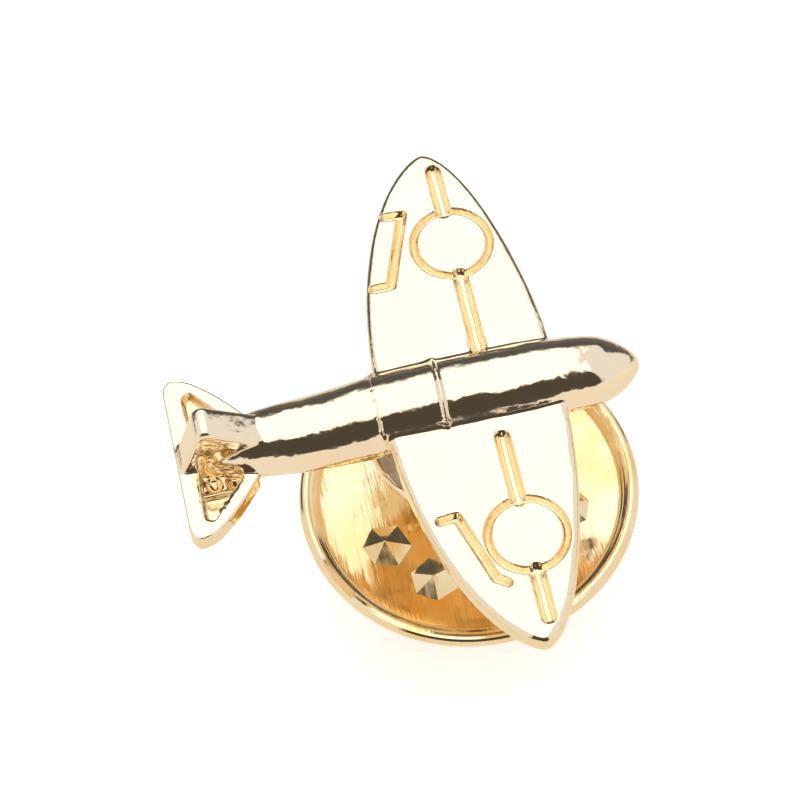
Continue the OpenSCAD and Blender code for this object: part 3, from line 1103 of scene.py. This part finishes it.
class PIN_OT_squeeze_wings(bpy.types.Operator):
    """Model the two squeeze wings with their jaws"""

    bl_idname = "pin.squeeze_wings"
    bl_label = "Squeeze Wings"

    def execute(self, context):
        low, high = LEVER_LOW, LEVER_HIGH
        reach = high.x
        width = high.y - low.y
        thick = context.scene.pin_sizes.sheet_t
        pivot_z = CAN_HIGH.z - PIVOT_DROP
        tip_z = low.z + thick / 2 + 0.04
        path = (
            (0.36, pivot_z + 0.74), (2.45, pivot_z), (2.9, pivot_z - 0.05),
            (reach - 1.1, pivot_z - 0.22), (reach - GRIP_END_GAP, tip_z),
        )

        def width_at(x):
            if x < NECK_END:
                return width - NECK_IN
            if x < SHOULDER_END:
                return width - NECK_IN * (SHOULDER_END - x) / SHOULDER_RUN
            inset = max(x - (reach - GRIP_END_GAP - GRIP_CORNER), 0.0)
            return width - 2 * (GRIP_CORNER - math.sqrt(max(GRIP_CORNER**2 - inset**2, 0.0)))

        for name, node, body, turn in (
            ("squeeze_wing_front", "squeeze_wing_fore", "wing_fore", 0.0),
            ("squeeze_wing_back", "squeeze_wing_aft", "wing_aft", math.pi),
        ):
            obj = bent_strip(name, path, width_at, thick)
            edit(obj)
            rest_x = reach - REST_BACK
            pick(obj, "VERT", lambda v: abs(v.co.y) < REST_HALF_W and abs(v.co.x - rest_x) < REST_HALF_L)
            bpy.ops.transform.translate(
                value=(0, 0, REST_RISE),
                use_proportional_edit=True,
                proportional_edit_falloff="SMOOTH",
                proportional_size=REST_SOFT,
            )
            done()
            round_edges(obj, 0.07, segments=3, limit=50.0)
            bore(obj, POST_HIGH.x + 0.05, pivot_z - 1, pivot_z + 2)
            obj.rotation_euler.z = turn
            place_in_mesh(obj)
            shade(obj)
            finish_piece(obj, body, [node], material("clutch_brass", context))
        return {"FINISHED"}


SPRING_T = 0.12
SPRING_END_GAP = 0.03
CROWN_HALF = 0.9


class PIN_OT_grip_spring(bpy.types.Operator):
    """Model the bowed leaf that presses the jaws shut"""

    bl_idname = "pin.grip_spring"
    bl_label = "Grip Spring"

    def execute(self, context):
        low, high = SPRING_LOW, SPRING_HIGH
        foot_z, crown_z = low.z + SPRING_T / 2, high.z - SPRING_T / 2
        path = (
            (low.x + SPRING_END_GAP, foot_z), (-CROWN_HALF, crown_z),
            (CROWN_HALF, crown_z), (high.x - SPRING_END_GAP, foot_z),
        )
        width = high.y - low.y
        obj = bent_strip("grip_leaf", path, lambda x: width, SPRING_T, rows=40, columns=8)
        bore(obj, POST_HIGH.x + 0.15, crown_z - 1, crown_z + 1)
        round_edges(obj, 0.03)
        shade(obj)
        finish_piece(obj, "clutch", ["grip_spring"], material("spring_brass", context))
        return {"FINISHED"}


# ---------------------------------------------------------------- stage


# Softness of the side panels' edges, and how far beyond the pin they reach, as shares of a direction
SIDE_SOFT = 0.03
SIDE_REACH = (0.5, 0.58)


def soft_room(light):
    """A white tent lit by direction, with a panel at either end and a dark opening."""
    world = bpy.data.worlds.new("soft_room")
    world.use_nodes = True
    tree = world.node_tree

    def node(kind, *inputs, **settings):
        made = tree.nodes.new(kind)
        for key, value in settings.items():
            setattr(made, key, value)
        for socket, value in zip(made.inputs, inputs):
            if isinstance(value, bpy.types.NodeSocket):
                tree.links.new(value, socket)
            elif value is not None:
                socket.default_value = value
        return made

    def maths(operation, *inputs):
        return node("ShaderNodeMath", *inputs, operation=operation).outputs[0]

    def step(value, low, high, out_low=0.0, out_high=1.0):
        limits = (low, high, out_low, out_high)
        made = node("ShaderNodeMapRange", value, *limits, interpolation_type="SMOOTHSTEP")
        return made.outputs["Result"]

    direction = node("ShaderNodeSeparateXYZ", tree.nodes.new("ShaderNodeTexCoord").outputs["Generated"])
    x, y, z = direction.outputs
    rise = maths("ARCSINE", z)
    turn = maths("ARCTAN2", x, maths("MULTIPLY", y, -1.0))
    aside = maths("ABSOLUTE", maths("SUBTRACT", turn, light.dark_turn))
    soft = light.dark_soft
    across = step(aside, light.dark_half_width - soft, light.dark_half_width + soft, 1.0, 0.0)
    above = step(rise, light.dark_top - soft, light.dark_top + soft, 1.0, 0.0)
    below = step(rise, light.dark_bottom - soft / 2, light.dark_bottom + soft / 2)
    dark = maths("MULTIPLY", maths("MULTIPLY", across, above), below)
    dome = step(rise, light.low_bottom, light.low_top, light.low, light.top)
    beside = step(maths("ABSOLUTE", x), light.side_from - SIDE_SOFT, light.side_from + SIDE_SOFT)
    raised = step(rise, light.low_bottom, light.low_bottom + SIDE_SOFT)
    not_far = maths("MAXIMUM", raised, step(y, *SIDE_REACH, 1.0, 0.0))
    panel = maths("MULTIPLY", beside, not_far)

    def blend(share, outside, inside):
        kept = maths("MULTIPLY", outside, maths("SUBTRACT", 1.0, share))
        return maths("ADD", kept, maths("MULTIPLY", share, inside))

    strength = blend(dark, blend(panel, dome, light.side), light.dark)
    background = tree.nodes["Background"]
    shade_tint = node("ShaderNodeMix", dark, data_type="RGBA")
    shade_tint.inputs["A"].default_value = (*light.tint, 1)
    shade_tint.inputs["B"].default_value = (*light.dark_tint, 1)
    tree.links.new(shade_tint.outputs["Result"], background.inputs["Color"])
    tree.links.new(strength, background.inputs["Strength"])
    return world


FLOOR_SIZE = 8.0
# The sheet of painted reflection lies this far above the floor, and darkens between these places along Y as
# painted shade beyond the pin, in metres
SHEET_SIZE = 7.9
SHEET_LIFT = 0.0002
SHEET_NEAR = 0.015
SHEET_FAR = 0.045
SHEET_TINT = (1.0, 0.9, 0.76)


def painted_floor_reflection(light):
    """A glowing sheet on the floor that only reflections see, a painted reflection: cream near the camera,
    and dark beyond the pin as painted shade.
    """
    bpy.ops.object.select_all(action="DESELECT")
    bpy.ops.mesh.primitive_plane_add(size=SHEET_SIZE)
    sheet = added("painted_floor_reflection")
    edit(sheet)
    bpy.ops.transform.translate(value=(0, 0, SHEET_LIFT))
    done()
    recipe = Recipe("painted_floor_reflection", (0, 0, 0), 0.0, 1.0)
    split = recipe.node("ShaderNodeSeparateXYZ")
    recipe.link(recipe.place, split.inputs["Vector"])
    glow = recipe.ramp(split.outputs["Y"], SHEET_NEAR, SHEET_FAR, light.near_floor, light.far_floor)
    recipe.shader.inputs["Emission Color"].default_value = (*SHEET_TINT, 1)
    recipe.link(glow, recipe.shader.inputs["Emission Strength"])
    sheet.data.materials.append(recipe.material)
    sheet.visible_camera = False
    sheet.visible_diffuse = False
    sheet.visible_shadow = False
    sheet.visible_transmission = False
    return sheet


class PIN_OT_stage(bpy.types.Operator):
    """Set the floor, the soft light, the glowing sheet of painted reflection that only reflections see and
    the camera
    """

    bl_idname = "pin.stage"
    bl_label = "Stage"

    def execute(self, context):
        scene = context.scene
        bpy.ops.object.select_all(action="DESELECT")
        bpy.ops.mesh.primitive_plane_add(size=FLOOR_SIZE)
        floor = added("floor")
        floor.data.materials.append(material("floor_paint", context))

        scene.world = soft_room(scene.pin_light)
        painted_floor_reflection(scene.pin_light)

        where = scene.pin_camera
        turn, rise = where.azimuth, where.elevation
        back = Vector((math.sin(turn) * math.cos(rise), -math.cos(turn) * math.cos(rise), math.sin(rise)))
        level_right = Vector((math.cos(turn), math.sin(turn), 0))
        level_up = back.cross(level_right)
        right = math.cos(where.roll) * level_right + math.sin(where.roll) * level_up
        up = -math.sin(where.roll) * level_right + math.cos(where.roll) * level_up
        sizes = scene.pin_sizes
        face_z = CASTING_LOW.z + sizes.body_h / 2 + sizes.wing_rise
        target = Vector((where.target_x, where.target_y, face_z))
        spot = (target + where.distance * back) * MM
        bpy.ops.object.camera_add()
        camera = bpy.context.active_object
        camera.name = "camera"
        turned = Matrix((right, up, back)).transposed().to_4x4()
        camera.matrix_world = Matrix.Translation(spot) @ turned
        camera.data.lens = where.lens
        camera.data.sensor_width = 36.0
        camera.data.clip_start = 0.001
        scene.camera = camera
        scene.view_settings.view_transform = "Standard"
        return {"FINISHED"}


class PIN_PT_panel(bpy.types.Panel):
    """Lists the steps in the 3D view's sidebar"""

    bl_idname = "PIN_PT_panel"
    bl_label = "Lapel Pin"
    bl_space_type = "VIEW_3D"
    bl_region_type = "UI"
    bl_category = "Lapel Pin"

    def draw(self, context):
        for step in STEPS:
            self.layout.operator(step.bl_idname)
        scene = context.scene
        for group in (scene.pin_sizes, scene.pin_colours, scene.pin_light, scene.pin_camera):
            box = self.layout.box()
            for name in group.bl_rna.properties.keys():
                if name not in ("rna_type", "name"):
                    box.prop(group, name)


STEPS = (
    PIN_OT_stage,
    PIN_OT_aircraft,
    PIN_OT_braze,
    PIN_OT_post,
    PIN_OT_clutch_disc,
    PIN_OT_eyelet,
    PIN_OT_clutch_can,
    PIN_OT_squeeze_wings,
    PIN_OT_grip_spring,
)
CLASSES = (PinSizes, PinColours, PinLight, PinCamera, *STEPS, PIN_PT_panel)


def register():
    for item in CLASSES:
        bpy.utils.register_class(item)
    bpy.types.Scene.pin_sizes = bpy.props.PointerProperty(type=PinSizes)
    bpy.types.Scene.pin_colours = bpy.props.PointerProperty(type=PinColours)
    bpy.types.Scene.pin_light = bpy.props.PointerProperty(type=PinLight)
    bpy.types.Scene.pin_camera = bpy.props.PointerProperty(type=PinCamera)


def unregister():
    del bpy.types.Scene.pin_camera
    del bpy.types.Scene.pin_light
    del bpy.types.Scene.pin_colours
    del bpy.types.Scene.pin_sizes
    for item in reversed(CLASSES):
        bpy.utils.unregister_class(item)


def main():
    register()
    for step in STEPS:
        group, name = step.bl_idname.split(".")
        getattr(getattr(bpy.ops, group), name)()


if __name__ == "__main__":
    main()
